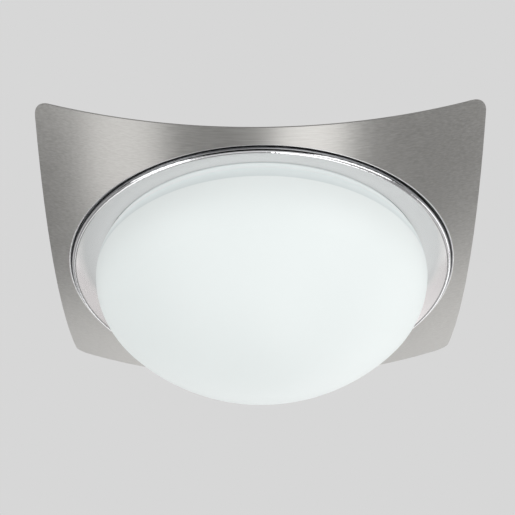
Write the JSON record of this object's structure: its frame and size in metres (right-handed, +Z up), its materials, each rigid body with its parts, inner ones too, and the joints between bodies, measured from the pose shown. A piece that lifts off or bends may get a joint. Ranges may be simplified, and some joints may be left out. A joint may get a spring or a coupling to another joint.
{
  "type": "flush mount ceiling light",
  "caption": "Flush ceiling light with an opal glass bowl in a polished ring on a domed square brushed plate, hung on a slotted bar.",
  "frame": {"origin": "middle of the mounting bar's top face, which lies on the ceiling", "axes": "+Z up into the ceiling; X along the mounting bar and the plate's brushing; +Y away from the picture's viewpoint"},
  "size_m": [0.3018, 0.3018, 0.1192],
  "materials": {
    "brushed_nickel_steel": "fine brushing along X, satin nickel plating",
    "polished_chrome_steel": "polished plating on the ring, plain inside",
    "zinc_steel": "bright zinc plate",
    "spring_steel": "plain hardened strip",
    "aluminium_rivet": "as headed",
    "opal_glass": "opal white, satin outside",
    "silicone_rubber": "soft moulded ring",
    "glazed_porcelain": "white glaze",
    "nickel_brass": "nickel-plated brass sheet",
    "contact_brass": "plain brass",
    "frosted_glass": "inside frosted",
    "cap_aluminium": "rolled aluminium",
    "black_bead_glass": "black insulating glass",
    "white_thermoplastic": "fine moulded grain",
    "grommet_rubber": "soft black rubber",
    "brown_silicone": "smooth sleeve",
    "blue_silicone": "smooth sleeve",
    "green_yellow_silicone": "green with a yellow stripe"
  },
  "bodies": {
    "fitting": {"cover_plate": "brushed_nickel_steel", "pan": "polished_chrome_steel", "plate_studs": "zinc_steel", "plate_nuts": "zinc_steel", "glass_gasket": "silicone_rubber", "mounting_bar": "zinc_steel", "fixing_studs": "zinc_steel", "fixing_washers": "zinc_steel", "fixing_nuts": "zinc_steel", "clip_feet": "spring_steel", "clip_rivets": "aluminium_rivet", "bracket_rivets": "aluminium_rivet", "lampholder_a_body": "glazed_porcelain", "lampholder_a_sleeve": "nickel_brass", "lampholder_a_contact": "contact_brass", "lampholder_a_bracket": "zinc_steel", "lampholder_a_screws": "zinc_steel", "lampholder_b_body": "glazed_porcelain", "lampholder_b_sleeve": "nickel_brass", "lampholder_b_contact": "contact_brass", "lampholder_b_bracket": "zinc_steel", "lampholder_b_screws": "zinc_steel", "terminal_block": "white_thermoplastic", "terminal_tubes": "contact_brass", "terminal_screws": "zinc_steel", "terminal_block_screws": "zinc_steel", "cable_grommet": "grommet_rubber", "earth_screw": "contact_brass", "earth_nut": "contact_brass", "earth_tag": "contact_brass", "live_leads": "brown_silicone", "neutral_leads": "blue_silicone", "earth_lead": "green_yellow_silicone"},
    "glass": {"glass_shade": "opal_glass"},
    "clip_1": {"clip_spring_1": "spring_steel"},
    "clip_2": {"clip_spring_2": "spring_steel"},
    "clip_3": {"clip_spring_3": "spring_steel"},
    "bulb_a": {"bulb_a_glass": "frosted_glass", "bulb_a_cap": "cap_aluminium", "bulb_a_bead": "black_bead_glass", "bulb_a_tip": "contact_brass"},
    "bulb_b": {"bulb_b_glass": "frosted_glass", "bulb_b_cap": "cap_aluminium", "bulb_b_bead": "black_bead_glass", "bulb_b_tip": "contact_brass"}
  },
  "joints": [
    {"name": "glass_drop", "type": "slide", "parent": "fitting", "child": "glass", "axis": [0, 0, -1], "range_m": [0, 0.1]},
    {"name": "clip_1_flex", "type": "hinge", "parent": "fitting", "child": "clip_1", "pos_m": [0.05075, 0.0879, -0.03975], "axis": [0.866, -0.5, 0], "range_deg": [0, 5], "stiffness_Nm_per_rad": 1.2},
    {"name": "clip_2_flex", "type": "hinge", "parent": "fitting", "child": "clip_2", "pos_m": [-0.1015, 0, -0.03975], "axis": [0, 1, 0], "range_deg": [0, 5], "stiffness_Nm_per_rad": 1.2},
    {"name": "clip_3_flex", "type": "hinge", "parent": "fitting", "child": "clip_3", "pos_m": [0.05075, -0.0879, -0.03975], "axis": [-0.866, -0.5, 0], "range_deg": [0, 5], "stiffness_Nm_per_rad": 1.2},
    {"name": "bulb_a_unscrew", "type": "hinge", "parent": "fitting", "child": "bulb_a", "pos_m": [0, 0.033, -0.05175], "axis": [1, 0, 0], "range_deg": [0, 1080]},
    {"name": "bulb_b_unscrew", "type": "hinge", "parent": "fitting", "child": "bulb_b", "pos_m": [0, -0.033, -0.05175], "axis": [-1, 0, 0], "range_deg": [0, 1080]}
  ]
}
